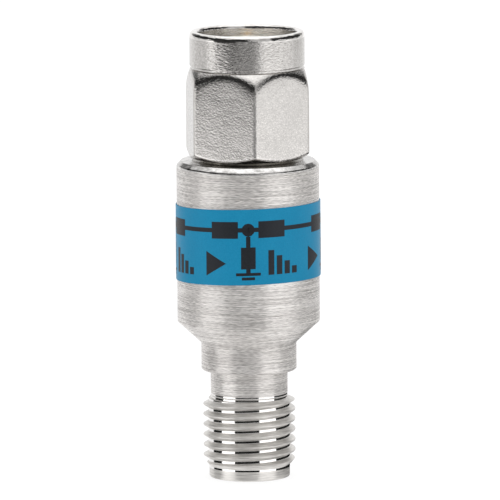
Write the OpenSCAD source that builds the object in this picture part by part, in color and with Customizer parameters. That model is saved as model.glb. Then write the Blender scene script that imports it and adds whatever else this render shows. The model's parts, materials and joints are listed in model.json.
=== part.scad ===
// Fixed coaxial attenuator: a turned body with a threaded socket end below, and above it a
// plug end whose hexagon coupling nut spins on the plug's shell. A ceramic card with a resistor
// film sits between the two centre contacts. Millimetres, +Z up, the origin at the centre of the
// socket end's face, on which the part stands.

/* [Coupling thread] */
// Wall of the socket end, from its mouth out to the thread's crests
thread_wall = 0.875; // [0.8:0.005:0.95]
// Distance from one thread turn to the next (36 turns to the inch)
thread_pitch = 0.7056; // [0.65:0.0001:0.75]
// Number of thread turns on the socket end
thread_turns = 7; // [5:1:9]
// How far the plain nose lies below the thread's roots
nose_drop = 0.02; // [0:0.01:0.1]
// Length of the plain nose in front of the thread
nose_h = 0.67; // [0.4:0.01:1]

/* [Body] */
// How far the neck behind the thread lies below the thread's crests
neck_cut = 0.525; // [0.4:0.005:0.65]
// Length of the neck
neck_h = 1.85; // [1:0.05:3]
// How far the collar stands out past the thread's crests
collar_step = 0.1; // [0:0.05:0.4]
// Length of the collar
collar_h = 1.9; // [1:0.05:3]
// Height of the cone between the collar and the barrel
cone_h = 1.5; // [0.8:0.1:2]
// Diameter of the main barrel
body_d = 9.8; // [9.2:0.1:12]
// Thickness of the floor between the cone and the card's chamber
floor_h = 0.9; // [0.5:0.1:2]
// Width of the bevel on the barrel's top edge
body_bevel = 0.3; // [0.1:0.05:0.5]
// Width of the small bevels on the other turned edges
edge_bevel = 0.1; // [0.04:0.02:0.14]

/* [Label] */
// Height of the wrapped label
label_h = 5.2; // [3:0.05:6]
// Height of the label's middle above the barrel's lower edge
label_rise = 5.63; // [4.5:0.01:6]
// Thickness of the label
label_t = 0.06; // [0.04:0.01:0.2]
// Angle by which the label is stuck on askew, right side up
label_roll = 1.4; // [0:0.1:2]
// Angle by which the label is stuck on askew, front up
label_lift = 1.2; // [0:0.1:2]

/* [Coaxial line] */
// Inside diameter of the outer conductor, filled by the insulators
line_d = 4.1; // [3.9:0.05:4.2]
// Depth of the socket's mouth, down to the reference plane
mouth_depth = 1.9; // [1.5:0.1:2.2]
// Step by which each insulator's flange stands out
bead_step = 0.3; // [0.2:0.05:0.4]
// Thickness of that flange
bead_h = 1.2; // [0.8:0.1:1.6]

/* [Centre contacts] */
// Diameter of the contacts inside the insulators
contact_d = 1.27; // [1.2:0.01:1.35]
// Diameter of the plug's pin
pin_d = 0.914; // [0.88:0.002:0.94]
// Length of the plug's pin past the reference plane
pin_h = 2.1; // [1.5:0.1:2.4]
// Diameter of the flat end of the pin's tip
tip_d = 0.4; // [0.2:0.05:0.6]
// Length of the pin's tapered tip
tip_h = 0.3; // [0.2:0.05:0.5]
// Depth of the hole in the socket contact
hole_depth = 3; // [2.4:0.1:4]
// Width of the slots in the socket contact
slot_w = 0.14; // [0.08:0.02:0.16]
// Length of the slots in the socket contact
slot_h = 2.4; // [1.5:0.1:2.4]
// Step by which the collar that holds each contact in place stands out
keeper_step = 0.26; // [0.15:0.01:0.4]
// Thickness of that collar
keeper_h = 0.4; // [0.3:0.05:0.6]

/* [Plug shell] */
// Width of the ledge on which the shell's root seats in the body
ledge_w = 0.5; // [0.3:0.05:0.7]
// Length of the shell's root, fixed in the body
plug_h = 3.7; // [3:0.1:4.5]
// Diameter of the shell under the nut
shell_d = 6.5; // [6.3:0.05:6.7]
// Length of the shell from the body up to the gasket's seat
shell_h = 2.9; // [2.6:0.1:3.4]
// Wall of the shell's sleeve
sleeve_wall = 0.225; // [0.2:0.005:0.25]
// Length of the sleeve, up to the reference plane
sleeve_h = 2.7; // [2.4:0.1:3]
// Thickness of the gasket round the sleeve
gasket_t = 0.8; // [0.5:0.1:1.1]

/* [Coupling nut] */
// How far the hexagon's flats stand out past the round front
flat_step = 0.05; // [0.02:0.01:0.3]
// Length of the hexagon
hex_h = 6.12; // [5.6:0.02:7]
// Length of the nut's round front
front_h = 2.35; // [2:0.05:3]
// Wall of the nut's round front
front_wall = 0.575; // [0.5:0.025:0.7]
// Step from the thread out to the nut's plain mouth
lead_step = 0.17; // [0.05:0.01:0.2]
// Depth of the nut's plain mouth
lead_h = 0.8; // [0.6:0.1:1]
// Width of the bevel round the nut's front edge
front_bevel = 0.15; // [0.05:0.05:0.3]
// Width of the relief groove between the hexagon and the round front
relief_w = 0.2; // [0.1:0.05:0.3]
// Depth of that groove
relief_depth = 0.12; // [0.05:0.01:0.2]
// Slope of the bevel on the hexagon's front corners, from the level
front_slope = 45; // [25:1:55]
// Diameter of the nut's flat rear face
rear_face_d = 7.85; // [7.5:0.05:7.9]
// Slope of the bevel on the hexagon's rear corners, from the level
rear_slope = 32; // [20:1:50]
// Gap between the nut and the body
nut_gap = 0.25; // [0.2:0.05:0.5]
// Angle at which the hexagon stands
nut_turn = 37; // [0:1:59]

/* [Retaining ring] */
// Height of the ring's groove above the body
groove_rise = 1.3; // [1.1:0.05:1.5]
// Depth of the groove in the shell
groove_depth = 0.4; // [0.3:0.05:0.5]
// Thickness of the ring
ring_t = 0.5; // [0.4:0.05:0.6]
// How far the ring stands out of the shell
ring_out = 0.22; // [0.15:0.01:0.25]
// Width of the gap between the ring's ends
ring_gap = 1.2; // [0.8:0.1:2]

/* [Attenuator card] */
// Diameter of the card's chamber in the body
cavity_d = 6.6; // [6.2:0.05:7]
// Width of the ceramic card
card_w = 4.4; // [4:0.1:5]
// Length of the ceramic card
card_h = 5.6; // [5:0.1:7]
// Thickness of the ceramic card
card_t = 0.38; // [0.3:0.02:0.5]
// Distance from each end of the card to the end of its chamber
card_end = 0.45; // [0.3:0.05:0.8]
// Thickness of the films fired onto the card
film_t = 0.03; // [0.02:0.01:0.05]
// Width of the film that runs along the card
film_w = 0.8; // [0.4:0.1:1.2]
// Width of the film that runs across the card
film_cross_w = 1.4; // [0.6:0.1:2]
// Width of the air channel on each side of the card
channel_w = 3; // [2.6:0.1:3.2]
// Depth of the air channel, from the card's middle
channel_depth = 1.6; // [1.2:0.1:2]
// Length of the card that each contact grips
grip_h = 0.9; // [0.6:0.1:1.2]

/* [Clearances] */
// Gap between pieces that are fixed to each other
fit_gap = 0.02; // [0.01:0.005:0.03]
// Gap between the plug's sleeve and the socket's mouth of a mating part
mate_gap = 0.025; // [0.01:0.005:0.05]
// Gap between the plug's pin and the socket's hole of a mating part
hole_gap = 0.013; // [0.005:0.001:0.02]
// Gap between the nut's thread and the thread of a mating part
thread_gap = 0.03; // [0.02:0.01:0.08]
// Gap between the nut and what it spins on
spin_gap = 0.06; // [0.04:0.01:0.1]
// Gap above and below the retaining ring in the nut
ring_play = 0.1; // [0.06:0.02:0.15]
// Gap above the retaining ring in the shell
ring_slack = 0.1; // [0.04:0.02:0.15]
// Gap between the gasket and the nut
gasket_gap = 0.12; // [0.06:0.02:0.2]
// Gap between the shell's seat and the step inside the nut
seat_gap = 0.3; // [0.2:0.05:0.4]

/* [Hidden] */
$fn = 96;

// A sixty-degree thread: crests an eighth of the pitch wide, and five eighths of a sharp V deep
sharp_depth = thread_pitch * sqrt(3) / 2;
thread_depth = sharp_depth * 5 / 8;
crest_w = thread_pitch / 8;
flank_h = thread_depth * tan(30);

// Diameters, which step outwards from the coaxial line
sleeve_d = line_d + 2 * sleeve_wall;
mouth_d = sleeve_d + 2 * mate_gap;
thread_d = mouth_d + 2 * thread_wall;
root_d = thread_d - 2 * thread_depth;
nose_d = root_d - 2 * nose_drop;
neck_d = thread_d - 2 * neck_cut;
collar_d = thread_d + 2 * collar_step;
bead_d = line_d + 2 * bead_step;
hole_d = pin_d + 2 * hole_gap;
keeper_d = contact_d + 2 * keeper_step;
plug_d = cavity_d + 2 * ledge_w;
groove_d = shell_d - 2 * groove_depth;
ring_d = shell_d + 2 * ring_out;
nut_bore_d = shell_d + 2 * spin_gap;
nut_minor_d = root_d + 2 * thread_gap;
nut_major_d = thread_d + 2 * thread_gap;
nut_mouth_d = nut_major_d + 2 * lead_step;
front_d = nut_mouth_d + 2 * front_wall;
nut_flats = front_d + 2 * flat_step;
nut_corner_d = nut_flats * 2 / sqrt(3);

// Heights of the turned steps, from the socket end's face upwards
cavity_h = card_h + 2 * card_end;
z_thread = nose_h + thread_turns * thread_pitch;
z_neck = z_thread + neck_h;
z_collar = z_neck + collar_h;
z_cone = z_collar + cone_h;
z_cavity = z_cone + floor_h;
z_bead = z_cavity - bead_h;
z_plug = z_cavity + cavity_h;
z_body = z_plug + plug_h;
z_seat = z_body + shell_h;
z_reference = z_seat + sleeve_h;
z_label = z_cone + label_rise;

// Heights in the coupling nut
z_nut = z_body + nut_gap;
z_hex = z_nut + hex_h;
z_front = z_hex + relief_w;
z_nut_top = z_front + front_h;
z_lead = z_nut_top - lead_h;
z_groove = z_body + groove_rise;
z_nut_step = z_seat + seat_gap;
nut_turns = floor((z_lead - z_nut_step) / thread_pitch);
z_nut_thread = z_lead - nut_turns * thread_pitch;

// Places round the card, which stands upright, with its films on the +Y side
card_bottom = z_cavity + card_end;
card_top = card_bottom + card_h;
card_face = card_t / 2;
cover_y = card_face + film_t;
strip_w = (card_w - channel_w) / 2;

// How far a cut runs past the face that it opens
over = body_d;

// Points of a row of thread ridges, from the bottom up: base_r is the radius between the ridges,
// and tip_r the radius on them
function ridges(z, turns, base_r, tip_r) = [
    for (i = [0 : turns - 1])
        let (middle = z + (i + 0.5) * thread_pitch)
            each [
                [base_r, middle - crest_w / 2 - flank_h],
                [tip_r, middle - crest_w / 2],
                [tip_r, middle + crest_w / 2],
                [base_r, middle + crest_w / 2 + flank_h]
            ]
];

// A ring of rectangular section
module ring(outer_d, inner_d, z0, z1) {
    rotate_extrude()
        translate([inner_d / 2, z0])
            square([(outer_d - inner_d) / 2, z1 - z0]);
}

// The body, turned in one piece: threaded nose, neck, collar, cone and barrel, bored through
module housing() {
    nose_r = nose_d / 2;
    collar_r = collar_d / 2;
    body_r = body_d / 2;
    outside = concat(
        [
            [nose_r - edge_bevel, 0],
            [nose_r, edge_bevel],
            [nose_r, nose_h]
        ],
        ridges(nose_h, thread_turns, root_d / 2, thread_d / 2),
        [
            [neck_d / 2, z_thread],
            [neck_d / 2, z_neck],
            [collar_r - edge_bevel, z_neck],
            [collar_r, z_neck + edge_bevel],
            [collar_r, z_collar],
            [body_r, z_cone],
            [body_r, z_body - body_bevel],
            [body_r - body_bevel, z_body]
        ]
    );
    inside = [
        [plug_d / 2, z_body],
        [plug_d / 2, z_plug],
        [cavity_d / 2, z_plug],
        [cavity_d / 2, z_cavity],
        [bead_d / 2, z_cavity],
        [bead_d / 2, z_bead],
        [line_d / 2, z_bead],
        [line_d / 2, mouth_depth],
        [mouth_d / 2, mouth_depth],
        [mouth_d / 2, 0]
    ];
    color([0.78, 0.77, 0.75])
        rotate_extrude()
            polygon(concat(outside, inside));
}

// The label: a band round the barrel, between two parallel planes that stand a little askew
module label_band() {
    inner_d = body_d + 2 * fit_gap;
    color([0.13, 0.48, 0.66])
        intersection() {
            ring(inner_d + 2 * label_t, inner_d, z_cone, z_body - body_bevel);
            translate([0, 0, z_label])
                rotate([-label_lift, -label_roll, 0])
                    cube([2 * body_d, 2 * body_d, label_h], center = true);
        }
}

// The plug's outer conductor: root in the body, round shell with the ring's groove, thin sleeve
module plug_shell() {
    root_r = plug_d / 2 - fit_gap;
    shell_r = shell_d / 2;
    groove_top = z_groove + ring_t + ring_slack;
    color([0.76, 0.74, 0.7])
        rotate_extrude()
            polygon([
                [root_r, z_plug],
                [root_r, z_body],
                [shell_r, z_body],
                [shell_r, z_groove],
                [groove_d / 2, z_groove],
                [groove_d / 2, groove_top],
                [shell_r, groove_top],
                [shell_r, z_seat - edge_bevel],
                [shell_r - edge_bevel, z_seat],
                [sleeve_d / 2, z_seat],
                [sleeve_d / 2, z_reference - edge_bevel],
                [sleeve_d / 2 - edge_bevel, z_reference],
                [line_d / 2, z_reference],
                [line_d / 2, z_plug + bead_h],
                [bead_d / 2, z_plug + bead_h],
                [bead_d / 2, z_plug]
            ]);
}

// The nut's outside: a hexagon with bevelled corners, a relief groove and a round front
module nut_outside() {
    front_r = front_d / 2;
    rear_r = rear_face_d / 2;
    relief_r = front_r - relief_depth;
    wide_r = nut_corner_d - front_r;
    front_drop = (wide_r - front_r) * tan(front_slope);
    rear_rise = (wide_r - rear_r) * tan(rear_slope);
    intersection() {
        translate([0, 0, z_nut - over])
            rotate([0, 0, nut_turn])
                cylinder(d = nut_corner_d, h = hex_h + 2 * over, $fn = 6);
        rotate_extrude()
            polygon([
                [0, z_nut],
                [rear_r, z_nut],
                [wide_r, z_nut + rear_rise],
                [wide_r, z_hex - front_drop],
                [front_r, z_hex],
                [0, z_hex]
            ]);
    }
    rotate_extrude()
        polygon([
            [0, z_hex - front_drop],
            [relief_r, z_hex - front_drop],
            [relief_r, z_front],
            [front_r, z_front],
            [front_r, z_nut_top - front_bevel],
            [front_r - front_bevel, z_nut_top],
            [0, z_nut_top]
        ]);
}

// The nut's inside: rear bore with the ring's groove, thread, and plain mouth
module nut_inside() {
    bore_r = nut_bore_d / 2;
    ring_r = ring_d / 2 + spin_gap;
    groove_bottom = z_groove - ring_play;
    groove_top = z_groove + ring_t + ring_play;
    rotate_extrude()
        polygon(concat(
            [
                [0, z_nut - over],
                [bore_r, z_nut - over],
                [bore_r, groove_bottom],
                [ring_r, groove_bottom],
                [ring_r, groove_top],
                [bore_r, groove_top],
                [bore_r, z_nut_step],
                [nut_minor_d / 2, z_nut_step]
            ],
            ridges(z_nut_thread, nut_turns, nut_minor_d / 2, nut_major_d / 2),
            [
                [nut_minor_d / 2, z_lead],
                [nut_mouth_d / 2, z_lead],
                [nut_mouth_d / 2, z_nut_top + over],
                [0, z_nut_top + over]
            ]
        ));
}

// The coupling nut, which spins on the plug's shell
module coupling_nut() {
    color([0.8, 0.79, 0.76])
        difference() {
            nut_outside();
            nut_inside();
        }
}

// The open spring ring that keeps the nut on the shell
module snap_ring() {
    inner_d = groove_d + 2 * spin_gap;
    color([0.72, 0.5, 0.25])
        difference() {
            ring(ring_d, inner_d, z_groove, z_groove + ring_t);
            translate([0, -ring_gap / 2, z_groove - over])
                cube([ring_d, ring_gap, ring_t + 2 * over]);
        }
}

// The rubber gasket on the shell's seat, round the sleeve
module nut_gasket() {
    color([0.7, 0.25, 0.12])
        ring(nut_minor_d - 2 * gasket_gap, sleeve_d + 2 * fit_gap, z_seat, z_seat + gasket_t);
}

// An insulator: a rod from its outer face to a flange at its inner end, bored for the contact.
// The inner end has a recess for the contact's collar. way is 1 if the face points up, else -1.
module insulator(z_face, z_inner, way) {
    rod_r = line_d / 2 - fit_gap;
    flange_r = bead_d / 2 - fit_gap;
    bore_r = contact_d / 2 + fit_gap;
    keeper_r = keeper_d / 2 + fit_gap;
    z_flange = z_inner + way * (bead_h - fit_gap);
    z_keeper = z_inner + way * (keeper_h + fit_gap);
    color([0.93, 0.93, 0.9])
        rotate_extrude()
            polygon([
                [bore_r, z_face],
                [rod_r, z_face],
                [rod_r, z_flange],
                [flange_r, z_flange],
                [flange_r, z_inner],
                [keeper_r, z_inner],
                [keeper_r, z_keeper],
                [bore_r, z_keeper]
            ]);
}

// The plug's insulator, flush with the end of the sleeve
module plug_insulator() {
    insulator(z_reference, z_plug, 1);
}

// The socket's insulator, flush with the floor of the mouth
module socket_insulator() {
    insulator(mouth_depth, z_cavity, -1);
}

// A slot across the end of a contact, which takes the edge of the card
module card_slot(z0, z1) {
    translate([-over / 2, -card_face - fit_gap, z0])
        cube([over, card_t + film_t + 2 * fit_gap, z1 - z0]);
}

// The plug's contact: pin with a tapered tip, rod, collar, and a slot that grips the card
module plug_pin() {
    rod_r = contact_d / 2;
    grip_end = card_top - grip_h;
    color([0.85, 0.65, 0.25])
        difference() {
            rotate_extrude()
                polygon([
                    [0, grip_end],
                    [rod_r, grip_end],
                    [rod_r, z_plug],
                    [keeper_d / 2, z_plug],
                    [keeper_d / 2, z_plug + keeper_h],
                    [rod_r, z_plug + keeper_h],
                    [rod_r, z_reference],
                    [pin_d / 2, z_reference],
                    [pin_d / 2, z_reference + pin_h - tip_h],
                    [tip_d / 2, z_reference + pin_h],
                    [0, z_reference + pin_h]
                ]);
            card_slot(grip_end - over, card_top + fit_gap);
        }
}

// The socket's contact: rod with a drilled and slotted front, collar, and a slot for the card
module socket_contact() {
    rod_r = contact_d / 2;
    grip_end = card_bottom + grip_h;
    hole_end = mouth_depth + hole_depth;
    color([0.85, 0.65, 0.25])
        difference() {
            rotate_extrude()
                polygon([
                    [hole_d / 2, mouth_depth],
                    [rod_r, mouth_depth],
                    [rod_r, z_cavity - keeper_h],
                    [keeper_d / 2, z_cavity - keeper_h],
                    [keeper_d / 2, z_cavity],
                    [rod_r, z_cavity],
                    [rod_r, grip_end],
                    [0, grip_end],
                    [0, hole_end],
                    [hole_d / 2, hole_end]
                ]);
            for (angle = [45, 135])
                rotate([0, 0, angle])
                    translate([-over / 2, -slot_w / 2, mouth_depth - over])
                        cube([over, slot_w, slot_h + over]);
            card_slot(card_bottom - fit_gap, grip_end + over);
        }
}

// One half of the split drum that holds the card, on the side of the card's films or the other
module carrier_half(films) {
    drum_d = cavity_d - 2 * fit_gap;
    intersection() {
        translate([0, 0, z_cavity])
            cylinder(d = drum_d, h = cavity_h);
        translate([-over, films ? cover_y : cover_y - over, z_cavity - over])
            cube([2 * over, over, cavity_h + 2 * over]);
    }
}

// The air channel that runs along the card, on both of its sides
module air_channel() {
    translate([-channel_w / 2, -channel_depth, z_cavity - over])
        cube([channel_w, 2 * channel_depth, cavity_h + 2 * over]);
}

// The drum's base, with the pocket that the card lies in
module carrier_base() {
    color([0.75, 0.6, 0.3])
        difference() {
            carrier_half(false);
            air_channel();
            translate([-card_w / 2 - fit_gap, -card_face, card_bottom - fit_gap])
                cube([card_w + 2 * fit_gap, card_t + over, card_h + 2 * fit_gap]);
        }
}

// The drum's cap, which presses the card's earth strips against the base
module carrier_cap() {
    color([0.75, 0.6, 0.3])
        difference() {
            carrier_half(true);
            air_channel();
        }
}

// The ceramic card
module attenuator_card() {
    color([0.92, 0.9, 0.86])
        translate([-card_w / 2, -card_face, card_bottom])
            cube([card_w, card_t, card_h]);
}

// The silver films on the card: a pad under each contact and an earth strip along each edge
module card_terminals() {
    color([0.7, 0.7, 0.7]) {
        for (z = [card_bottom, card_top - grip_h])
            translate([-contact_d / 2, card_face, z])
                cube([contact_d, film_t, grip_h]);
        for (x = [-card_w / 2, card_w / 2 - strip_w])
            translate([x, card_face, card_bottom])
                cube([strip_w, film_t, card_h]);
    }
}

// The resistor film: a bar from pad to pad, crossed by a bar from earth strip to earth strip
module resistor_film() {
    middle = (card_bottom + card_top) / 2;
    color([0.15, 0.15, 0.16]) {
        translate([-film_w / 2, card_face, card_bottom + grip_h])
            cube([film_w, film_t, card_h - 2 * grip_h]);
        translate([-channel_w / 2, card_face, middle - film_cross_w / 2])
            cube([channel_w, film_t, film_cross_w]);
    }
}

housing();
label_band();
plug_shell();
coupling_nut();
snap_ring();
nut_gasket();
plug_insulator();
plug_pin();
socket_insulator();
socket_contact();
carrier_base();
carrier_cap();
attenuator_card();
card_terminals();
resistor_film();
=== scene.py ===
"""Looks of a fixed coaxial attenuator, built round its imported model.

The turned pieces are made again as fine meshes, with helical threads and rounded edges, and every
piece gets a procedural material. Meshes are worked out in millimetres, in the part's own frame:
+Z runs up the axis from the socket end, and -Y is the label's front.
"""

import json
import math

import bmesh
import bpy
import numpy as np
from mathutils import Matrix, Vector


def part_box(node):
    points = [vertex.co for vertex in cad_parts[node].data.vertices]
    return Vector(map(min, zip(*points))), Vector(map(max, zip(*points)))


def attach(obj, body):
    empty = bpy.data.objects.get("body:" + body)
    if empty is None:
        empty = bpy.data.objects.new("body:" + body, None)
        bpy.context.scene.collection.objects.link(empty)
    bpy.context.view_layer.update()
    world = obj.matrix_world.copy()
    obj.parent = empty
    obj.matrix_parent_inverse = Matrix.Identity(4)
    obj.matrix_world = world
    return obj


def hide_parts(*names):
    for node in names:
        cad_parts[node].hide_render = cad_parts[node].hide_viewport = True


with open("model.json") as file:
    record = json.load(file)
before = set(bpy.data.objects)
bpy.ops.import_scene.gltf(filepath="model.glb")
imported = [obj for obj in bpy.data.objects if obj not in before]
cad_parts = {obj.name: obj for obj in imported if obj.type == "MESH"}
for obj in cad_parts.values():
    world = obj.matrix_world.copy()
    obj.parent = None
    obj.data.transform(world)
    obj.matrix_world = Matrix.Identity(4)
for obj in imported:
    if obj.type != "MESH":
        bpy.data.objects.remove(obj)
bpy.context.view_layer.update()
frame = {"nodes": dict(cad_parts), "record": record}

MM = 0.001


def low_z(part):
    """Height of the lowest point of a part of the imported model."""
    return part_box(part)[0].z / MM


def high_z(part):
    """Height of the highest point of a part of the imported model."""
    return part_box(part)[1].z / MM


def outer_r(part):
    """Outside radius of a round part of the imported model."""
    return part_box(part)[1].x / MM


def mount(name, size):
    """A size of one of the record's mounts."""
    mounts = {entry["name"]: entry for entry in frame["record"]["mounts"]}
    return mounts[name]["dims"][size]


# Thread: pitch, depth and crest as in the solids, and the height of a crest on the +X side
PITCH = 0.7056
FLANK_ANGLE = math.radians(30)
SHARP_DEPTH = PITCH * math.sqrt(3) / 2
THREAD_DEPTH = SHARP_DEPTH * 5 / 8
CREST_W = PITCH / 8
FLANK_H = THREAD_DEPTH * math.tan(FLANK_ANGLE)
CREST_ROUND = CREST_W / 2 / math.tan(FLANK_ANGLE)
ROOT_ROUND = 0.02
CREST_AT = 3.29
THREAD_R = mount("socket_thread", "r_mm")

# Slopes at which the socket end's thread fades out, towards its nose and its neck
FADE_BELOW = 0.8
FADE_ABOVE = 2.5

# Finish of the socket end's outside, which starts this far outside its mouth: a face this near to
# the thread's root that leans less than this is polished
OUTSIDE_FROM = 0.1
ROOT_NEAR = 0.02
ROOT_LEAN = 0.5

# Turned steps of the housing, from the socket end's face upwards. Radii step in or out from the
# thread's, and the cone and the collar go down from the cavity's floor
NOSE_STEP = 0.02
NECK_STEP = 0.525
COLLAR_STEP = 0.1
NOSE_R = THREAD_R - THREAD_DEPTH - NOSE_STEP
NECK_R = THREAD_R - NECK_STEP
COLLAR_R = THREAD_R + COLLAR_STEP
BODY_R = outer_r("housing")
NOSE_H = 0.67
Z_RUN_OUT = 5.83
GROOVE_W = 0.15
RUN_OUT_W = 0.35
RIDGE_DROP = 0.15
FLOOR_ABOVE_CONE = 0.9
CONE_H = 1.5
COLLAR_H = 1.9
Z_BODY = high_z("housing")
Z_CAVITY = low_z("carrier_base")
Z_CONE = Z_CAVITY - FLOOR_ABOVE_CONE
Z_COLLAR = Z_CONE - CONE_H
Z_NECK = Z_COLLAR - COLLAR_H
BODY_BEVEL = 0.3
BEVEL_ROUND = 0.24
EDGE_BEVEL = 0.1
THREAD_EDGE = 0.04
FIT_GAP = 0.02

# Fillets, from an edge that is only scraped to a round one, and those of the socket end's face and
# of the gasket's top
SCRAPED = 0.01
CRISP = 0.02
BROKEN = 0.03
EASED = 0.04
BLUNT = 0.05
SOFT = 0.06
ROUND = 0.08
FACE_ROUND = 0.12
GASKET_ROUND = 0.18

# Bores of the housing, each a little wider than the piece that it holds
MOUTH_R = mount("socket_mouth", "r_mm")
MOUTH_DEPTH = mount("socket_mouth", "length_mm")
LINE_R = 2.05
BEAD_R = outer_r("plug_insulator") + FIT_GAP
BEAD_H = 1.2
KEEPER_R = 0.895
KEEPER_H = 0.4
CONTACT_R = 0.635
CAVITY_R = 3.3
Z_PLUG = low_z("plug_shell")
PLUG_R = outer_r("plug_shell") + FIT_GAP

# Plug shell: its round body with the retaining ring's groove, and the thin sleeve in front
SHELL_R = 3.25
SLEEVE_WALL = 0.225
RING_GROOVE = 0.4
SLEEVE_R = LINE_R + SLEEVE_WALL
GROOVE_R = SHELL_R - RING_GROOVE
Z_SEAT = low_z("nut_gasket")
Z_REFERENCE = high_z("plug_insulator")
Z_RING = low_z("snap_ring")
RING_TOP = high_z("snap_ring")

# Coupling nut: the hexagon, the slopes of its bevels, how far their edges are worn round, which
# grows by CORNER_WEAR towards the hexagon's corners, and the rounded rim and lip at the top
SIDES = 6
HALF_SIDE = math.pi / SIDES
NUT_APOTHEM = 4.0
NUT_CORNER_ROUND = 0.36
NUT_TURN = math.radians(37)
FRONT_R = 3.95
REAR_R = 3.925
FRONT_SLOPE = math.radians(45)
REAR_SLOPE = math.radians(32)
REAR_BLEND = 0.26
FRONT_BLEND = 0.6
CORNER_WEAR = 1.1
REACH_WIDTHS = 4
RIM_H = 0.4
RIM_IN = 0.2
LIP_H = 0.28
LIP_IN = 0.15
RELIEF_W = 0.2
RELIEF_DEPTH = 0.12
RELIEF_LEAN = 0.02
FRONT_H = 2.35
Z_NUT = low_z("coupling_nut")
Z_NUT_TOP = high_z("coupling_nut")
Z_FRONT = Z_NUT_TOP - FRONT_H
Z_HEX = Z_FRONT - RELIEF_W
NUT_MOUTH_R = mount("nut_mouth", "r_mm")
Z_LEAD = Z_NUT_TOP - mount("nut_mouth", "length_mm")
NUT_MINOR_R = mount("coupling_thread", "r_mm")
NUT_MAJOR_R = NUT_MINOR_R + THREAD_DEPTH
Z_NUT_THREAD = Z_LEAD - mount("coupling_thread", "length_mm")
SEAT_ROOM = 0.3
RUNNING_GAP = 0.06
RING_PLAY = 0.1
Z_NUT_STEP = Z_SEAT + SEAT_ROOM
NUT_BORE_R = SHELL_R + RUNNING_GAP
NUT_RING_R = outer_r("snap_ring") + RUNNING_GAP

# Label: its size, its middle above the cone, and the slopes at which it is stuck on askew
LABEL_R = outer_r("label_band")
LABEL_T = 0.06
LABEL_H = 5.2
LABEL_ABOVE_CONE = 5.63
Z_LABEL = Z_CONE + LABEL_ABOVE_CONE
LABEL_ROLL = math.tan(math.radians(1.4))
LABEL_LIFT = math.tan(math.radians(1.2))
INK_T = 0.006

# Fineness of the meshes. Each corner of the hexagon has columns of its own, placed in halves of its
# rounding, and a fillet takes at most a share of the shorter stretch beside it
COLUMNS = 192
NUT_COLUMNS = 216
CORNER_COLUMNS = (-3, -1.6, -1, -0.6, -0.2, 0.2, 0.6, 1, 1.6, 3)
REAR_ROWS = 22
FLAT_ROWS = 9
FRONT_ROWS = 40
ARC_STEPS = 5
RIM_STEPS = 14
FILLET_SHARE = 0.45
SUPPORT = 0.03
END_STEP = 0.025
WELD = 1e-7
SHARP = math.radians(40)

# Material slots after the first one, of the housing and of the nut
THREADED, POLISHED, BEVELLED = range(1, 4)
BORE, FRONT, RIM = range(1, 4)


def placed(name, data):
    """A new object for a mesh, camera or lamp, put into the scene."""
    made = bpy.data.objects.new(name, data)
    bpy.context.scene.collection.objects.link(made)
    return made


def rounded(corners):
    """Points along an open path of (radius, height, fillet) corners, with each corner rounded.

    A point just outside each fillet keeps the shading of the straight stretches flat.
    """
    points = [corners[0][:2]]
    for before, corner, after in zip(corners, corners[1:], corners[2:]):
        here = np.array(corner[:2])
        into = here - np.array(before[:2])
        out = np.array(after[:2]) - here
        room = FILLET_SHARE * min(np.linalg.norm(into), np.linalg.norm(out))
        into /= np.linalg.norm(into)
        out /= np.linalg.norm(out)
        turn = math.atan2(into[0] * out[1] - into[1] * out[0], into @ out)
        reach = min(corner[2] * math.tan(abs(turn) / 2), room)
        fillet = reach / math.tan(abs(turn) / 2)
        side = math.copysign(1, turn)
        start = here - into * reach
        centre = start + fillet * side * np.array((-into[1], into[0]))
        support = min(SUPPORT, room - reach)
        points.append(tuple(start - into * support))
        for step in range(ARC_STEPS + 1):
            angle = turn * step / ARC_STEPS
            arm = start - centre
            points.append((
                centre[0] + arm[0] * math.cos(angle) - arm[1] * math.sin(angle),
                centre[1] + arm[0] * math.sin(angle) + arm[1] * math.cos(angle),
            ))
        points.append(tuple(here + out * (reach + support)))
    points.append(corners[-1][:2])
    return points


def turn_angles(columns):
    """Angles of a full turn, with both of its ends."""
    return np.linspace(0, 2 * math.pi, columns + 1)


def ring_mesh(name, rings, angles):
    """A closed mesh through rings of (radius, height), each a number or one value per angle."""
    across = len(angles)
    points = np.empty((len(rings), across, 3))
    for row, (radius, height) in zip(points, rings):
        row[:, 0] = radius * np.cos(angles)
        row[:, 1] = radius * np.sin(angles)
        row[:, 2] = height
    index = np.arange(len(rings) * across).reshape(len(rings), across)
    above = np.roll(index, -1, axis=0)
    quads = np.stack(
        (index[:, :-1], index[:, 1:], above[:, 1:], above[:, :-1]), axis=-1
    ).reshape(-1, 4)
    return solid(name, points.reshape(-1, 3), quads)


def solid(name, points, faces):
    """A welded, smooth-shaded object from points in millimetres."""
    mesh = bpy.data.meshes.new(name)
    mesh.from_pydata((np.asarray(points) * MM).tolist(), [], np.asarray(faces).tolist())
    work = bmesh.new()
    work.from_mesh(mesh)
    bmesh.ops.remove_doubles(work, verts=work.verts, dist=WELD)
    bmesh.ops.dissolve_degenerate(work, edges=work.edges, dist=WELD)
    bmesh.ops.recalc_face_normals(work, faces=work.faces)
    for face in work.faces:
        face.smooth = True
    work.to_mesh(mesh)
    work.free()
    mesh.set_sharp_from_angle(angle=SHARP)
    return placed(name, mesh)


def thread_turn(root_r, crest_r):
    """Points (radius, height) of one thread turn, from the middle of one root to the next."""
    middle = PITCH / 2
    return rounded([
        (root_r, 0, 0),
        (root_r, middle - CREST_W / 2 - FLANK_H, ROOT_ROUND),
        (crest_r + CREST_ROUND, middle, CREST_ROUND),
        (root_r, middle + CREST_W / 2 + FLANK_H, ROOT_ROUND),
        (root_r, PITCH, 0),
    ])


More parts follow.
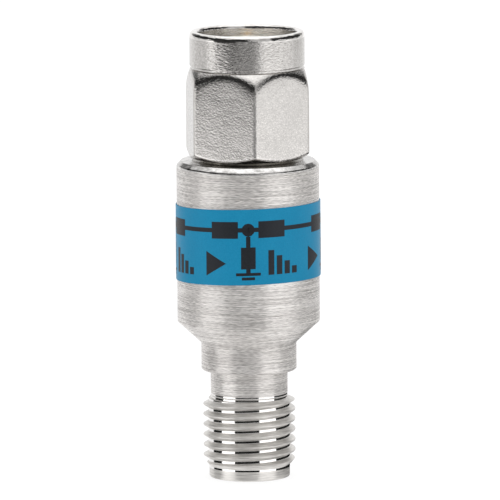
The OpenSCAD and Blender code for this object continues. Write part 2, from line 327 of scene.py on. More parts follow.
def subdivided(points, step):
    """The same path, with points added so that none are further apart than a step."""
    made = []
    for (r_0, z_0), (r_1, z_1) in zip(points, points[1:]):
        parts = math.ceil(math.hypot(r_1 - r_0, z_1 - z_0) / step)
        made += [(r_0 + (r_1 - r_0) * i / parts, z_0 + (z_1 - z_0) * i / parts) for i in range(parts)]
    return made + points[-1:]


def helix_rings(turn, angles, start, bottom, top, limit, end_step=PITCH):
    """Rings that climb with a right-handed thread, cut off level at the bottom and the top.

    start is the height at angle 0 of the root where one turn begins, and limit(radius, height)
    shapes the thread's ends, where the rings lie no further apart than end_step.
    """
    climb = PITCH * angles / (2 * math.pi)
    first = math.floor((bottom - start) / PITCH) - 1
    last = math.ceil((top - start) / PITCH)
    fine_turn = subdivided(turn, end_step)
    rings = []
    for number in range(first, last + 1):
        base = start + number * PITCH
        at_end = base < bottom or base + 2 * PITCH > top
        for radius, height in (fine_turn if at_end else turn)[:-1]:
            level = base + height + climb
            rings.append((limit(radius, level), np.clip(level, bottom, top)))
    return rings


def make_housing():
    """The body, turned in one piece, with the socket end's helical thread."""
    angles = turn_angles(COLUMNS)
    root_r = THREAD_R - THREAD_DEPTH
    z_first = NOSE_H + GROOVE_W
    z_last = Z_RUN_OUT - RUN_OUT_W
    z_ridge = Z_RUN_OUT - RIDGE_DROP
    z_bevel = Z_BODY - BODY_BEVEL - BEVEL_ROUND / 2
    groove_r = NECK_R - FIT_GAP
    plain = rounded([
        (groove_r, z_last + THREAD_EDGE, 0),
        (groove_r, z_ridge - THREAD_EDGE, SCRAPED),
        (groove_r + THREAD_EDGE, z_ridge, SCRAPED),
        (groove_r, z_ridge + THREAD_EDGE, SCRAPED),
        (groove_r, Z_RUN_OUT, SCRAPED),
        (NECK_R, Z_RUN_OUT + FIT_GAP, SCRAPED),
        (NECK_R, Z_NECK, SOFT),
        (COLLAR_R - EDGE_BEVEL, Z_NECK, EASED),
        (COLLAR_R, Z_NECK + EDGE_BEVEL, EASED),
        (COLLAR_R, Z_COLLAR, SOFT),
        (BODY_R, Z_CONE, ROUND),
        (BODY_R, Z_BODY - BODY_BEVEL, BEVEL_ROUND),
        (BODY_R - BODY_BEVEL, Z_BODY, BROKEN),
        (PLUG_R, Z_BODY, EASED),
        (PLUG_R, Z_PLUG, BROKEN),
        (CAVITY_R, Z_PLUG, BROKEN),
        (CAVITY_R, Z_CAVITY, BROKEN),
        (BEAD_R, Z_CAVITY, BROKEN),
        (BEAD_R, Z_CAVITY - BEAD_H, BROKEN),
        (LINE_R, Z_CAVITY - BEAD_H, BROKEN),
        (LINE_R, MOUTH_DEPTH, BROKEN),
        (MOUTH_R, MOUTH_DEPTH, BROKEN),
        (MOUTH_R, 0, ROUND),
        (NOSE_R, 0, FACE_ROUND),
        (NOSE_R, NOSE_H, CRISP),
        (root_r, NOSE_H, CRISP),
        (root_r, z_first - SUPPORT, 0),
    ])

    def ends(radius, level):
        """The thread faded out towards the grooves below and above it."""
        depth = np.minimum((level - z_first) * FADE_BELOW, (z_last - level) * FADE_ABOVE)
        return np.minimum(radius, root_r + np.maximum(depth, 0))

    thread = helix_rings(
        thread_turn(root_r, THREAD_R), angles,
        CREST_AT - PITCH / 2, z_first, z_last, ends, END_STEP,
    )
    housing = ring_mesh("housing_turned", plain + thread, angles)
    for face in housing.data.polygons:
        x, y, z = face.center / MM
        radius = math.hypot(x, y)
        if z > z_bevel:
            face.material_index = BEVELLED
        elif z < Z_RUN_OUT and radius > MOUTH_R + OUTSIDE_FROM:
            root = z > NOSE_H and radius < root_r + ROOT_NEAR and abs(face.normal.z) < ROOT_LEAN
            face.material_index = POLISHED if root else THREADED
    return housing


def nut_angles():
    """Angles round the nut, closer together at the hexagon's corners."""
    near = corner_spread() * np.array(CORNER_COLUMNS)
    corners = NUT_TURN + np.arange(SIDES) * 2 * HALF_SIDE
    close = (corners[:, None] + near).ravel() % (2 * math.pi)
    return np.unique(np.concatenate((turn_angles(NUT_COLUMNS), close)))


def corner_spread():
    """Angle, seen from the axis, over which half of a hexagon corner is rounded."""
    along = (NUT_APOTHEM - NUT_CORNER_ROUND) * math.tan(HALF_SIDE)
    return HALF_SIDE - math.atan(along / NUT_APOTHEM)


def hexagon(angles):
    """Radius of the hexagon, with its corners rounded, at each angle."""
    off = np.abs((angles - NUT_TURN + HALF_SIDE) % (2 * HALF_SIDE) - HALF_SIDE)
    flat = NUT_APOTHEM / np.cos(HALF_SIDE - off)
    arm = (NUT_APOTHEM - NUT_CORNER_ROUND) / math.cos(HALF_SIDE)
    inside = np.maximum(NUT_CORNER_ROUND ** 2 - (arm * np.sin(off)) ** 2, 0)
    corner = arm * np.cos(off) + np.sqrt(inside)
    return np.where(off < corner_spread(), corner, flat)


def soft_min(a, b, reach):
    """The smaller of two radii, the edge between them worn round, ever less up to about a reach."""
    width = reach / REACH_WIDTHS
    return -width * np.logaddexp(-a / width, -b / width)


def nut_edge(radius, inwards, height):
    """Points up an elliptic edge, from a wall of the nut to its top."""
    return [
        (radius - inwards * (1 - math.cos(turn)), Z_NUT_TOP - height * (1 - math.sin(turn)))
        for turn in np.linspace(0, math.pi / 2, RIM_STEPS)
    ]


def make_nut():
    """The coupling nut: bevelled hexagon, round front, helical thread and ring groove inside."""
    angles = nut_angles()
    flats = hexagon(angles)
    front_blend = FRONT_BLEND + CORNER_WEAR * (flats - NUT_APOTHEM)
    rear_rise = (flats.max() - REAR_R) * math.tan(REAR_SLOPE) + REAR_BLEND
    front_drop = flats.max() - FRONT_R + front_blend.max()
    heights = np.concatenate((
        np.linspace(Z_NUT, Z_NUT + rear_rise, REAR_ROWS),
        np.linspace(Z_NUT + rear_rise, Z_HEX - front_drop, FLAT_ROWS)[1:-1],
        np.linspace(Z_HEX - front_drop, Z_HEX, FRONT_ROWS),
    ))
    sides = []
    for level in heights:
        rear = REAR_R + (level - Z_NUT) / math.tan(REAR_SLOPE)
        front = FRONT_R + (Z_HEX - level) / math.tan(FRONT_SLOPE)
        radius = soft_min(soft_min(flats, rear, REAR_BLEND), front, front_blend)
        sides.append((radius, level))

    relief = rounded([
        (FRONT_R, Z_HEX, 0),
        (FRONT_R - RELIEF_DEPTH, Z_HEX + RELIEF_LEAN, BROKEN),
        (FRONT_R - RELIEF_DEPTH, Z_FRONT - RELIEF_LEAN, BROKEN),
        (FRONT_R, Z_FRONT, SOFT),
        (FRONT_R, Z_NUT_TOP - RIM_H - SUPPORT, 0),
    ])
    rim = nut_edge(FRONT_R, RIM_IN, RIM_H) + nut_edge(NUT_MOUTH_R, -LIP_IN, LIP_H)[::-1]
    mouth = rounded([
        (NUT_MOUTH_R, Z_NUT_TOP - LIP_H - SUPPORT, 0),
        (NUT_MOUTH_R, Z_LEAD, EASED),
        (NUT_MAJOR_R, Z_LEAD, 0),
    ])

    def ends(radius, level):
        """The countersink at the thread's mouth and its run-out below."""
        level = np.clip(level, Z_NUT_THREAD, Z_LEAD)
        countersink = NUT_MAJOR_R - (Z_LEAD - level)
        run_out = NUT_MINOR_R + (level - Z_NUT_THREAD)
        return np.minimum(np.maximum(radius, countersink), run_out)

    thread = helix_rings(
        thread_turn(NUT_MINOR_R, NUT_MAJOR_R), angles,
        Z_NUT_THREAD, Z_NUT_THREAD, Z_LEAD, ends,
    )
    bore = rounded([
        (NUT_MINOR_R, Z_NUT_THREAD, 0),
        (NUT_MINOR_R, Z_NUT_STEP, BLUNT),
        (NUT_BORE_R, Z_NUT_STEP, BROKEN),
        (NUT_BORE_R, RING_TOP + RING_PLAY, BROKEN),
        (NUT_RING_R, RING_TOP + RING_PLAY, BROKEN),
        (NUT_RING_R, Z_RING - RING_PLAY, BROKEN),
        (NUT_BORE_R, Z_RING - RING_PLAY, BROKEN),
        (NUT_BORE_R, Z_NUT, BLUNT),
        (REAR_R, Z_NUT, 0),
    ])
    rings = sides + relief + rim + mouth + thread[::-1] + bore
    nut = ring_mesh("coupling_nut_turned", rings, angles)
    for face in nut.data.polygons:
        x, y, z = face.center / MM
        if math.hypot(x, y) < NUT_MOUTH_R and z > Z_NUT + FIT_GAP:
            face.material_index = BORE
        elif z > Z_HEX:
            face.material_index = FRONT if z < Z_NUT_TOP - RIM_H else RIM
    return nut


def make_turned(name, corners):
    """A plain turned piece from its closed outline of (radius, height, fillet) corners."""
    start = (corners[0][0] + corners[-1][0]) / 2, (corners[0][1] + corners[-1][1]) / 2, 0
    outline = rounded([start] + corners + [start])[:-1]
    return ring_mesh(name, outline, turn_angles(COLUMNS))


def make_plug_shell():
    """The plug's outer conductor: root in the housing, round shell, thin sleeve."""
    groove_top = RING_TOP + RING_PLAY
    root_r = PLUG_R - FIT_GAP
    return make_turned("plug_shell_turned", [
        (root_r, Z_PLUG, BROKEN),
        (root_r, Z_BODY, BROKEN),
        (SHELL_R, Z_BODY, BROKEN),
        (SHELL_R, Z_RING, CRISP),
        (GROOVE_R, Z_RING, CRISP),
        (GROOVE_R, groove_top, CRISP),
        (SHELL_R, groove_top, CRISP),
        (SHELL_R, Z_SEAT - EDGE_BEVEL, EASED),
        (SHELL_R - EDGE_BEVEL, Z_SEAT, EASED),
        (SLEEVE_R, Z_SEAT, EASED),
        (SLEEVE_R, Z_REFERENCE - EDGE_BEVEL, EASED),
        (SLEEVE_R - EDGE_BEVEL, Z_REFERENCE, EASED),
        (LINE_R, Z_REFERENCE, BROKEN),
        (LINE_R, Z_PLUG + BEAD_H, BROKEN),
        (BEAD_R, Z_PLUG + BEAD_H, BROKEN),
        (BEAD_R, Z_PLUG, BROKEN),
    ])


def make_insulator(name, z_face, z_inner):
    """An insulator: a rod from its outer face to a flange at its inner end, bored through."""
    way = math.copysign(1, z_face - z_inner)
    z_flange = z_inner + way * (BEAD_H - FIT_GAP)
    z_keeper = z_inner + way * (KEEPER_H + FIT_GAP)
    return make_turned(name, [
        (CONTACT_R + FIT_GAP, z_face, BROKEN),
        (LINE_R - FIT_GAP, z_face, BLUNT),
        (LINE_R - FIT_GAP, z_flange, BROKEN),
        (BEAD_R - FIT_GAP, z_flange, BROKEN),
        (BEAD_R - FIT_GAP, z_inner, BROKEN),
        (KEEPER_R + FIT_GAP, z_inner, BROKEN),
        (KEEPER_R + FIT_GAP, z_keeper, BROKEN),
        (CONTACT_R + FIT_GAP, z_keeper, BROKEN),
    ])


def make_gasket():
    """The silicone gasket on the shell's seat, with well rounded edges."""
    inner_r = SLEEVE_R + FIT_GAP
    gasket_r = outer_r("nut_gasket")
    top = high_z("nut_gasket")
    return make_turned("nut_gasket_moulded", [
        (inner_r, Z_SEAT, SOFT),
        (gasket_r, Z_SEAT, SOFT),
        (gasket_r, top, GASKET_ROUND),
        (inner_r, top, GASKET_ROUND),
    ])


def askew(angles, radius):
    """How far the askew label stands above its middle height at each angle."""
    return radius * (np.cos(angles) * LABEL_ROLL - np.sin(angles) * LABEL_LIFT)


def make_label():
    """The label: a thin band wrapped round the barrel, a little askew."""
    angles = turn_angles(COLUMNS)
    film_r = LABEL_R - INK_T
    half = LABEL_H / 2
    outline = rounded([
        (LABEL_R - LABEL_T, 0, 0),
        (LABEL_R - LABEL_T, -half, SCRAPED),
        (film_r, -half, BROKEN),
        (film_r, half, BROKEN),
        (LABEL_R - LABEL_T, half, SCRAPED),
        (LABEL_R - LABEL_T, 0, 0),
    ])[:-1]
    lean = Z_LABEL + askew(angles, film_r)
    return ring_mesh("label_film_band", [(r, t + lean) for r, t in outline], angles)


# Label print: a generic circuit sign of a series, shunt and series resistor, with a wedge and a row
# of falling bars below it. (shape, along, above, width, height), in millimetres along the label from
# the front and above its middle
PRINT_REPEATS = 4
PRINT_SPAN = 2 * math.pi * LABEL_R / PRINT_REPEATS
LINE_W = 0.3
SIGN_HALF = 2.6
LEAD_IN = PRINT_SPAN / 2 - SIGN_HALF
LEAD_AT = PRINT_SPAN / 2 - LEAD_IN / 2
PRINT_SHAPES = [
    ("bar", -LEAD_AT, 1.2, LEAD_IN, LINE_W),
    ("bar", -1.65, 1.2, 1.9, 1.15),
    ("bar", 0.0, 1.2, 1.4, LINE_W),
    ("disc", 0.0, 1.2, 0.9, 0.9),
    ("bar", 1.65, 1.2, 1.9, 1.15),
    ("bar", LEAD_AT, 1.2, LEAD_IN, LINE_W),
    ("bar", 0.0, 0.3, LINE_W, 0.9),
    ("bar", 0.0, -0.75, 1.0, 1.5),
    ("bar", 0.0, -1.62, LINE_W, 0.3),
    ("bar", 0.0, -1.86, 1.7, 0.2),
    ("bar", 0.0, -2.16, 0.9, 0.2),
    ("wedge", -2.3, -1.1, 1.5, 1.7),
    ("bar", 1.6, -1.1, 0.42, 1.7),
    ("bar", 2.2, -1.3, 0.42, 1.3),
    ("bar", 2.8, -1.5, 0.42, 0.9),
    ("bar", 3.4, -1.7, 0.42, 0.5),
]
PRINT_STEP = 0.15
PRINT_EDGE = 0.01

# Share of a shape's half height at each place across it, from -1 to 1
SHAPE_HALVES = {
    "bar": lambda across: np.ones_like(across),
    "disc": lambda across: np.sqrt(np.clip(1 - across ** 2, 0, 1)),
    "wedge": lambda across: (1 - across) / 2,
}


def make_print():
    """The label's print, as thin flakes of ink that follow the band."""
    points = []
    faces = []
    span = PRINT_SPAN / LABEL_R
    for repeat in range(PRINT_REPEATS):
        for kind, along, above, width, height in PRINT_SHAPES:
            steps = max(2, math.ceil(width / PRINT_STEP))
            across = -np.cos(np.linspace(0, math.pi, steps + 1))
            half = np.maximum(height / 2 * SHAPE_HALVES[kind](across), PRINT_EDGE)
            angles = repeat * span - math.pi / 2 + (along + across * width / 2) / LABEL_R
            lean = Z_LABEL + above + askew(angles, LABEL_R)
            base = len(points)
            edges = (
                (LABEL_R - INK_T, -half),
                (LABEL_R, -half),
                (LABEL_R, half),
                (LABEL_R - INK_T, half),
            )
            for radius, offset in edges:
                points += zip(radius * np.cos(angles), radius * np.sin(angles), lean + offset)
            count = steps + 1
            starts = [base + side * count for side in range(len(edges))]
            for here, there in zip(starts, starts[1:] + starts[:1]):
                faces += [(here + i, here + i + 1, there + i + 1, there + i) for i in range(steps)]
            faces += [tuple(starts), tuple(start + steps for start in starts)]
    return solid("label_print", points, faces)


def linear(red, green, blue):
    """A colour written in 0 to 255 display values, as linear light."""
    def one(value):
        value /= 255
        return value / 12.92 if value <= 0.04045 else ((value + 0.055) / 1.055) ** 2.4
    return one(red), one(green), one(blue), 1


# Noise: its roughness, the range in which it mostly lies, and how the broad waves' noise differs
NOISE_ROUGHNESS = 0.6
NOISE_LOW = 0.36
NOISE_HIGH = 0.64
BROAD_DETAIL = 2
BROAD_SEED = 7

# Turned metal: how far its reflections are drawn out, and the share of a turn from along its marks
GRAIN_PULL = 0.8
GRAIN_TURN = 0.25


def node(tree, kind, values=None, **settings):
    """A new node with its settings made and its sockets linked or set."""
    made = tree.nodes.new(kind)
    for key, value in settings.items():
        setattr(made, key, value)
    for socket, value in (values or {}).items():
        if isinstance(value, bpy.types.NodeSocket):
            tree.links.new(value, made.inputs[socket])
        else:
            made.inputs[socket].default_value = value
    return made


def noise(tree, per_mm, detail, seed):
    """Noise in the piece's own coordinates, with so many cells to the millimetre on each axis."""
    place = node(tree, "ShaderNodeTexCoord").outputs["Object"]
    scaled = node(
        tree, "ShaderNodeVectorMath",
        {0: place, 1: Vector(per_mm) / MM}, operation="MULTIPLY",
    )
    moved = node(
        tree, "ShaderNodeVectorMath",
        {0: scaled.outputs[0], 1: (seed, seed, seed)}, operation="ADD",
    )
    return node(
        tree, "ShaderNodeTexNoise",
        {"Vector": moved.outputs[0], "Scale": 1, "Detail": detail, "Roughness": NOISE_ROUGHNESS},
    ).outputs["Fac"]


def spread(tree, value, low, high):
    """Noise, stretched so that the range in which it mostly lies runs from low to high."""
    return node(
        tree, "ShaderNodeMapRange",
        {"Value": value, "From Min": NOISE_LOW, "From Max": NOISE_HIGH, "To Min": low, "To Max": high},
    ).outputs["Result"]


def between(tree, factor, dark, light):
    """A colour between two, by a factor from 0 to 1."""
    return node(
        tree, "ShaderNodeMix", {"Factor": factor, "A": dark, "B": light}, data_type="RGBA"
    ).outputs["Result"]


def finish(
    name, dark, light, rough, per_mm, relief,
    waves=0.0, detail=3, seed=0.0, broad=(0.5, 0.5, 0.5), share=0.3, sockets=None,
):
    """A material whose colour and roughness vary with one grain, which also stands in relief.

    rough holds the lowest and highest roughness, and relief is the grain's height in millimetres.
    waves is the height of the broad waves below it, broad their number to the millimetre, and share
    their share in the colour.
    """
    made = bpy.data.materials.new(name)
    made.use_nodes = True
    tree = made.node_tree
    shader = tree.nodes["Principled BSDF"]
    grain = noise(tree, per_mm, detail, seed)
    cloud = noise(tree, broad, min(detail, BROAD_DETAIL), seed + BROAD_SEED)
    tint = node(tree, "ShaderNodeMix", {"Factor": share, "A": grain, "B": cloud}).outputs["Result"]
    colour = between(tree, spread(tree, tint, 0, 1), dark, light)
    tree.links.new(colour, shader.inputs["Base Color"])
    tree.links.new(spread(tree, grain, *rough), shader.inputs["Roughness"])
    wave = node(tree, "ShaderNodeMath", {0: cloud, 1: waves}, operation="MULTIPLY").outputs[0]
    height = node(
        tree, "ShaderNodeMath", {0: grain, 1: relief, 2: wave}, operation="MULTIPLY_ADD"
    ).outputs[0]
    bump = node(tree, "ShaderNodeBump", {"Height": height, "Strength": 1, "Distance": MM})
    tree.links.new(bump.outputs["Normal"], shader.inputs["Normal"])
    for socket, value in (sockets or {}).items():
        shader.inputs[socket].default_value = value
    return made


def turned_grain(made):
    """Gives a metal the grain of turning: reflections drawn out across the tool marks."""
    tree = made.node_tree
    shader = tree.nodes["Principled BSDF"]
    round_axis = node(tree, "ShaderNodeTangent", direction_type="RADIAL", axis="Z")
    tree.links.new(round_axis.outputs["Tangent"], shader.inputs["Tangent"])
    shader.inputs["Anisotropic"].default_value = GRAIN_PULL
    shader.inputs["Anisotropic Rotation"].default_value = GRAIN_TURN
    return made


METAL = {"Metallic": 1.0}

turned_steel = turned_grain(finish(
    "turned_steel", linear(152, 147, 144), linear(255, 252, 249), (0.34, 0.58),
    (3, 3, 60), 0.002, detail=0, broad=(0.25, 0.25, 60), share=0.5, sockets={"Metallic": 0.68},
))
thread_steel = turned_grain(finish(
    "thread_steel", linear(184, 181, 177), linear(240, 237, 233), (0.32, 0.5),
    (0.7, 0.7, 11), 0.004, detail=3, seed=2, sockets={"Metallic": 0.76},
))
polished_steel = finish(
    "polished_steel", linear(232, 230, 228), linear(242, 240, 238), (0.05, 0.09),
    (0.8, 0.8, 8), 0.0002, seed=1, sockets=METAL,
)
bevel_steel = finish(
    "bevel_steel", linear(164, 162, 160), linear(226, 224, 222), (0.14, 0.24),
    (2, 2, 6), 0.012, detail=2, seed=8, sockets=METAL,
)
nickel = finish(
    "nickel_plate", linear(194, 191, 188), linear(212, 209, 206), (0.09, 0.18),
    (8.5, 8.5, 8.5), 0.02, waves=0.03, detail=2, seed=3, sockets=METAL,
)
nickel_front = finish(
    "nickel_front", linear(190, 187, 184), linear(214, 211, 208), (0.09, 0.18),
    (5, 5, 10), 0.028, waves=0.04, detail=2, seed=6, sockets=METAL,
)
nickel_rim = finish(
    "nickel_rim", linear(214, 211, 208), linear(238, 235, 232), (0.07, 0.13),
    (2, 2, 6), 0.018, waves=0.08, detail=2, seed=10, sockets=METAL,
)
# Nickel of the nut's bore and inner thread, with the turned grain of its finish. Its colour is lighter
# than the outside's nickel: painted light inside the mouth.
nickel_bore = turned_grain(finish(
    "nickel_bore", linear(212, 209, 203), linear(248, 245, 240), (0.1, 0.2),
    (1, 1, 10), 0.01, detail=3, seed=4, sockets={"Metallic": 0.9},
))
# Plated brass of the plug shell. Its colour is darker than the metal's own: painted shade for the deep
# gap under the nut and inside the mouth, where the shell shows.
plated_brass = turned_grain(finish(
    "plated_brass", linear(124, 119, 110), linear(150, 145, 136), (0.22, 0.34),
    (2, 2, 20), 0.001, seed=5, sockets=METAL,
))
gold = finish(
    "gold_plate", linear(222, 178, 96), linear(240, 202, 126), (0.16, 0.28),
    (3, 3, 18), 0.0008, seed=9, sockets=METAL,
)
carrier_brass = finish(
    "carrier_brass", linear(196, 158, 84), linear(222, 186, 112), (0.25, 0.4),
    (2, 2, 12), 0.001, seed=11, sockets=METAL,
)
spring_bronze = finish(
    "spring_bronze", linear(170, 118, 70), linear(196, 144, 92), (0.25, 0.4),
    (4, 4, 4), 0.001, seed=13, sockets=METAL,
)
silver_film = finish(
    "silver_film", linear(190, 190, 190), linear(212, 212, 212), (0.35, 0.5),
    (12, 12, 12), 0.001, seed=15, sockets=METAL,
)
label_film = finish(
    "label_film", linear(15, 121, 160), linear(21, 129, 168), (0.34, 0.42),
    (9, 9, 9), 0.0006, seed=17, sockets={"Specular IOR Level": 0.12},
)
label_ink = finish(
    "label_ink", linear(26, 29, 34), linear(34, 38, 44), (0.4, 0.5),
    (12, 12, 12), 0.0008, seed=19, sockets={"Specular IOR Level": 0.2},
)
white_insulator = finish(
    "white_insulator", linear(232, 232, 226), linear(242, 242, 238), (0.42, 0.54),
    (3, 3, 6), 0.0012, seed=21, sockets={"Subsurface Weight": 0.2, "Subsurface Scale": 0.4 * MM},
)
silicone = finish(
    "silicone", linear(168, 66, 38), linear(184, 78, 46), (0.5, 0.62),
    (8, 8, 8), 0.0015, seed=23,
)
card_ceramic = finish(
    "card_ceramic", linear(226, 222, 212), linear(236, 233, 226), (0.5, 0.62),
    (20, 20, 20), 0.001, seed=25,
)
resistor_film = finish(
    "resistor_film", linear(34, 34, 36), linear(48, 48, 50), (0.5, 0.65),
    (20, 20, 20), 0.0015, seed=27,
)


def dress(piece, materials, body, slot, *nodes):
    """Gives a new piece its materials and body, in place of the CAD nodes it stands for. The slot
    argument is not used.
    """
    for material in materials:
        piece.data.materials.append(material)
    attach(piece, body)
    if nodes:
        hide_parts(*nodes)


dress(
    make_housing(), (turned_steel, thread_steel, polished_steel, bevel_steel),
    "body", "turned_steel", "housing",
)
dress(
    make_nut(), (nickel, nickel_bore, nickel_front, nickel_rim),
    "nut", "nickel_plate", "coupling_nut",
)
dress(make_label(), (label_film,), "body", "label_film", "label_band")
dress(make_print(), (label_ink,), "body", "label_film")
dress(make_plug_shell(), (plated_brass,), "body", "plated_brass", "plug_shell")
dress(
    make_insulator("plug_insulator_turned", Z_REFERENCE, Z_PLUG),
    (white_insulator,), "body", "white_insulator", "plug_insulator",
)
dress(
    make_insulator("socket_insulator_turned", MOUTH_DEPTH, Z_CAVITY),
    (white_insulator,), "body", "white_insulator", "socket_insulator",
)
dress(make_gasket(), (silicone,), "body", "silicone", "nut_gasket")

NODE_MATERIALS = {
    "snap_ring": spring_bronze,
    "plug_pin": gold,
    "socket_contact": gold,
    "carrier_base": carrier_brass,
    "carrier_cap": carrier_brass,
    "attenuator_card": card_ceramic,
    "card_terminals": silver_film,
    "resistor_film": resistor_film,
}
for name, material in NODE_MATERIALS.items():
    for place in frame["nodes"][name].material_slots:
        place.material = material

# Camera: far off with a long lens, a little above the part, rolled as the photograph is
VIEW_RISE = math.radians(8.33)
VIEW_DISTANCE = 0.601
VIEW_TARGET = Vector((0.117, 0, 15.7)) * MM
VIEW_ROLL = math.radians(-0.37)
FOCAL_PIXELS = 8748
IMAGE_PIXELS = 500
SENSOR_WIDTH = 36
CLIP_START = 0.01
CLIP_END = 20


def make_camera():
    """The scene's camera."""
    data = bpy.data.cameras.new("camera")
    data.sensor_width = SENSOR_WIDTH
    data.lens = FOCAL_PIXELS / IMAGE_PIXELS * SENSOR_WIDTH
    data.clip_start = CLIP_START
    data.clip_end = CLIP_END
    camera = placed("camera", data)
    outwards = Vector((0, -math.cos(VIEW_RISE), math.sin(VIEW_RISE)))
    aim = outwards.to_track_quat("Z", "Y").to_matrix().to_4x4()
    camera.matrix_world = (
        Matrix.Translation(VIEW_TARGET + outwards * VIEW_DISTANCE)
        @ aim @ Matrix.Rotation(VIEW_ROLL, 4, "Z")
    )
    bpy.context.scene.camera = camera


make_camera()

# World: white where it is seen or mirrored, dimmer as light
WHITE = (1, 1, 1, 1)
AMBIENT = 0.88


def make_world():
    """The white surroundings."""
    world = bpy.data.worlds.new("studio")
    world.use_nodes = True
    bpy.context.scene.world = world
    tree = world.node_tree
    rays = node(tree, "ShaderNodeLightPath").outputs
    mirrored = node(
        tree, "ShaderNodeMath",
        {0: rays["Is Glossy Ray"], 1: rays["Is Transmission Ray"]}, operation="MAXIMUM",
    )
    seen = node(
        tree, "ShaderNodeMath",
        {0: mirrored.outputs[0], 1: rays["Is Camera Ray"]}, operation="MAXIMUM",
    )
    strength = node(
        tree, "ShaderNodeMapRange", {"Value": seen.outputs[0], "To Min": AMBIENT, "To Max": 1.0}
    )
    background = tree.nodes["Background"]
    background.inputs["Color"].default_value = WHITE
    tree.links.new(strength.outputs["Result"], background.inputs["Strength"])


make_world()

# Floor: pale, nearly white by itself, so that only a faint contact shadow shows on it
FLOOR_SIZE = 3.0
FLOOR_GLOW = 0.8
FLOOR_PAINT = 0.22
FLOOR_ROUGHNESS = 0.9


def make_floor():
    """The floor that the part stands on."""
    mesh = bpy.data.meshes.new("floor")
    half = FLOOR_SIZE / 2
    mesh.from_pydata(
        [(-half, -half, 0), (half, -half, 0), (half, half, 0), (-half, half, 0)],
        [], [(0, 1, 2, 3)],
    )
    floor = placed("floor", mesh)
    paint = bpy.data.materials.new("floor_paint")
    paint.use_nodes = True
    sockets = paint.node_tree.nodes["Principled BSDF"].inputs
    sockets["Base Color"].default_value = (FLOOR_PAINT, FLOOR_PAINT, FLOOR_PAINT, 1)
    sockets["Roughness"].default_value = FLOOR_ROUGHNESS
    sockets["Specular IOR Level"].default_value = 0.0
    sockets["Emission Color"].default_value = WHITE
    sockets["Emission Strength"].default_value = FLOOR_GLOW
    mesh.materials.append(paint)
    floor.visible_glossy = False


make_floor()

# Cards bent round the part, which only mirrors see. The near ones stand on the camera's side, mostly
# dark. The far ones are a bright box on the left and one on the right, with dimmer strips beyond,
# above and behind them. (name, radius, brightness, bottom edge, top edge). An edge is its height
# and the azimuths of its two ends. Lengths in millimetres, azimuths in degrees to the right of the
# camera, as the part is seen
NEAR_R = 60
FAR_R = 80
CARDS = [
    ("front_low", NEAR_R, 0.015, (-30, -42, 28), (-2.9, -42, 28)),
    ("front_neck", NEAR_R, 0.7, (-2.9, -40, 28), (0, -40, 28)),
    ("front_mid", NEAR_R, 0.48, (0, -40, 28), (9, -38, 28)),
    ("front", NEAR_R, 0.24, (9, -38, 22), (18.6, -38, 22)),
    ("front_fade", NEAR_R, 0.75, (9, 22, 30), (37, 19, 28)),
    ("turn_low", NEAR_R, 1.1, (9, -62, -38), (15.8, -62, -38)),
    ("turn", NEAR_R, 0.68, (15.8, -62, -38), (18.6, -62, -38)),
    ("dark_low", NEAR_R, 0.8, (18.6, -66, -38), (23, -66, -22)),
    ("dark", NEAR_R, 0.05, (23, -66, -22), (37, -66, -22)),
    ("rim_low", NEAR_R, 1.0, (18.6, -38, 22), (23, -22, 21)),
    ("rim", NEAR_R, 0.2, (23, -22, 21), (37, -22, 19)),
    ("left_foot", FAR_R, 1.6, (-60, -84, -15), (-5, -84, -15)),
    ("left_mid", FAR_R, 1.9, (-5, -84, -15), (6, -84, -15)),
    ("left", FAR_R, 1.3, (6, -84, -15), (38, -84, -15)),
    ("right_foot", FAR_R, 1.55, (-60, 22, 80), (-5, 22, 80)),
    ("right_mid", FAR_R, 1.85, (-5, 22, 80), (6, 22, 80)),
    ("right", FAR_R, 1.1, (6, 22, 100), (38, 22, 100)),
    ("left_low", FAR_R, 0.02, (-40, -122, -84), (-5, -122, -84)),
    ("right_low", FAR_R, 0.02, (-40, 80, 165), (-5, 80, 165)),
    ("left_gap", FAR_R, 0.85, (-5, -128, -84), (38, -128, -84)),
    ("right_gap_low", FAR_R, 0.85, (-5, 80, 146), (6, 80, 146)),
    ("right_gap", FAR_R, 0.85, (6, 100, 146), (38, 100, 146)),
    ("above_left", FAR_R, 0.03, (38, -118, 6), (93, -118, 6)),
    ("above", FAR_R, 0.5, (38, 6, 52), (93, 6, 52)),
    ("above_right", FAR_R, 0.03, (38, 52, 118), (93, 52, 118)),
    ("left_end", FAR_R, 0.03, (38, -131, -118), (72, -131, -118)),
    ("right_end", FAR_R, 0.03, (38, 118, 131), (72, 118, 131)),
    ("left_back", FAR_R, 0.22, (40, -152, -131), (78, -152, -131)),
    ("right_back", FAR_R, 0.22, (40, 131, 152), (78, 131, 152)),
]
CARD_STEPS = 24

# Lid: a bright disc high above the part, also for mirrors only. Lengths in metres
LID_HEIGHT = 0.2
LID_RADIUS = 0.12
LID_LEVEL = 1.6


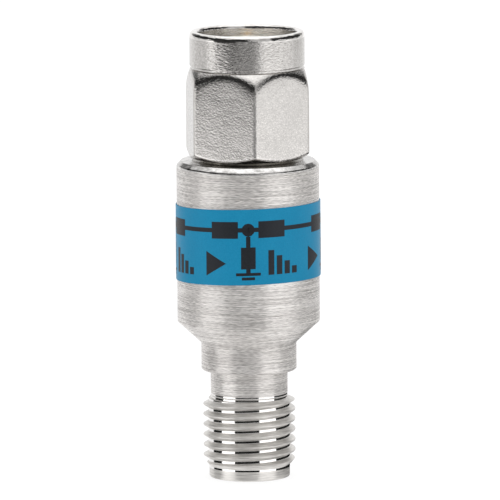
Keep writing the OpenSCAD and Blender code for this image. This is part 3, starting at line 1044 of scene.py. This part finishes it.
def make_card(name, points, faces, level):
    """A glowing card that is seen only in reflections."""
    mesh = bpy.data.meshes.new(name)
    mesh.from_pydata(points, [], faces)
    paint = bpy.data.materials.new(name)
    paint.use_nodes = True
    tree = paint.node_tree
    glow = node(tree, "ShaderNodeEmission", {"Color": WHITE, "Strength": level})
    tree.links.new(glow.outputs[0], tree.nodes["Material Output"].inputs["Surface"])
    mesh.materials.append(paint)
    card = placed(name, mesh)
    card.visible_camera = False
    card.visible_diffuse = False
    card.visible_shadow = False
    card.visible_transmission = False
    card.visible_volume_scatter = False


def bent_card(radius, *edges):
    """Points and faces of a card bent round the axis, from its bottom and top edges."""
    points = []
    for height, left, right in edges:
        for turn in np.radians(np.linspace(left, right, CARD_STEPS + 1)):
            points.append(Vector((radius * math.sin(turn), -radius * math.cos(turn), height)) * MM)
    top = CARD_STEPS + 1
    return points, [(i, i + 1, top + i + 1, top + i) for i in range(CARD_STEPS)]


for name, radius, level, bottom, top in CARDS:
    make_card(f"card_{name}", *bent_card(radius, bottom, top), level)

lid_turns = np.linspace(0, 2 * math.pi, CARD_STEPS, endpoint=False)
lid_points = [(LID_RADIUS * math.cos(a), LID_RADIUS * math.sin(a), LID_HEIGHT) for a in lid_turns]
make_card("card_lid", lid_points, [tuple(range(CARD_STEPS))], LID_LEVEL)

# Lamps: (name, place, size, power), each a soft square aimed at the part's middle, in metres and watts
LAMPS = [
    ("lamp_top", (0.0, 0.05, 0.5), 0.4, 0.9),
    ("lamp_left", (-0.42, -0.28, 0.3), 0.3, 0.35),
    ("lamp_right", (0.4, -0.34, 0.26), 0.3, 0.35),
    ("lamp_back", (0.05, 0.45, 0.3), 0.3, 0.3),
]
for name, place, size, power in LAMPS:
    data = bpy.data.lights.new(name, "AREA")
    data.size = size
    data.energy = power
    lamp = placed(name, data)
    lamp.location = place
    lamp.visible_glossy = False
    lamp.rotation_euler = (Vector(place) - VIEW_TARGET).to_track_quat("Z", "Y").to_euler()

bpy.context.scene.view_settings.view_transform = "Standard"
